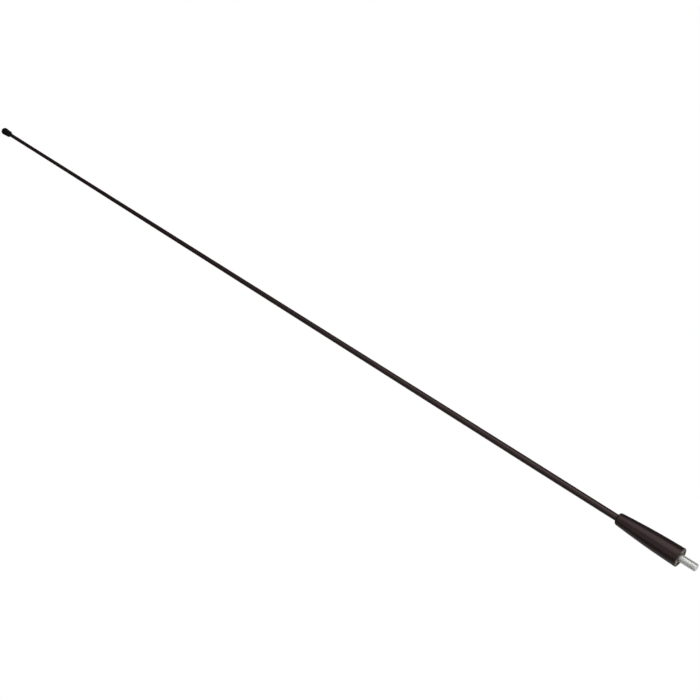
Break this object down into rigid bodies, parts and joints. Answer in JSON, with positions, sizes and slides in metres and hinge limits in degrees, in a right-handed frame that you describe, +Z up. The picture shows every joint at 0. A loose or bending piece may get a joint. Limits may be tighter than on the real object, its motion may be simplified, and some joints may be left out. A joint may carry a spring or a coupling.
{
  "type": "car antenna",
  "caption": "Screw-in car antenna: slim tapered black whip with a bead on its tip, crimped in a swelling moulded base sleeve with a threaded metal stud below.",
  "frame": {"origin": "centre of the sleeve's seat face, on the mast's axis", "axes": "+Z up along the mast from the seat to the tip, -Z out of the stud's free end"},
  "size_m": [0.0122, 0.0122, 0.5912],
  "materials": {
    "zinc_steel": "bright zinc plate",
    "turned_brass": "turned",
    "sleeve_plastic": "satin moulded",
    "black_coated_steel": "satin black coating",
    "cap_plastic": "satin moulded"
  },
  "bodies": {
    "root": {"stud": "zinc_steel", "insert": "turned_brass", "base_sleeve": "sleeve_plastic", "whip": "black_coated_steel", "tip_cap": "cap_plastic"}
  },
  "joints": []
}
